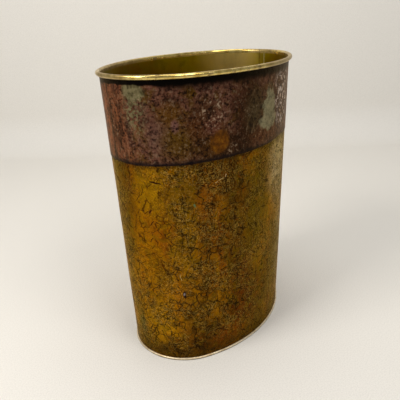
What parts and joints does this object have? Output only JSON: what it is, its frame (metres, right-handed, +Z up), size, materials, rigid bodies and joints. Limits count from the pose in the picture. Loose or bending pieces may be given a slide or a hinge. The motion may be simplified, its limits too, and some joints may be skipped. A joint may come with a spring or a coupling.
{
  "type": "wastebasket",
  "caption": "Tall oval sheet-metal wastebasket that tapers to the foot, with a wired rim, a dark copper band below it and a crackled brass body.",
  "frame": {"origin": "centre of the oval on the plane that the basket rests on", "axes": "+Z up to the open mouth, X along the oval's long axis with the side seam at +X, Y along its short axis"},
  "size_m": [0.2614, 0.1734, 0.305],
  "materials": {
    "crackled_brass": "aged gold lacquer with a fine dark crackle outside, smooth olive-gold lacquer inside",
    "dark_copper": "copper oxidised to a mottled purple-brown with olive and orange patches",
    "plain_brass": "bare brass, slightly dulled",
    "steel_wire": "drawn steel wire, hidden in the rim",
    "solder": "dull grey soft solder"
  },
  "bodies": {
    "root": {"wall_sheet": "crackled_brass", "side_seam_solder": "solder", "rim_wire": "steel_wire", "copper_band": "dark_copper", "band_seam_solder": "solder", "bottom_pan": "plain_brass"}
  },
  "joints": []
}
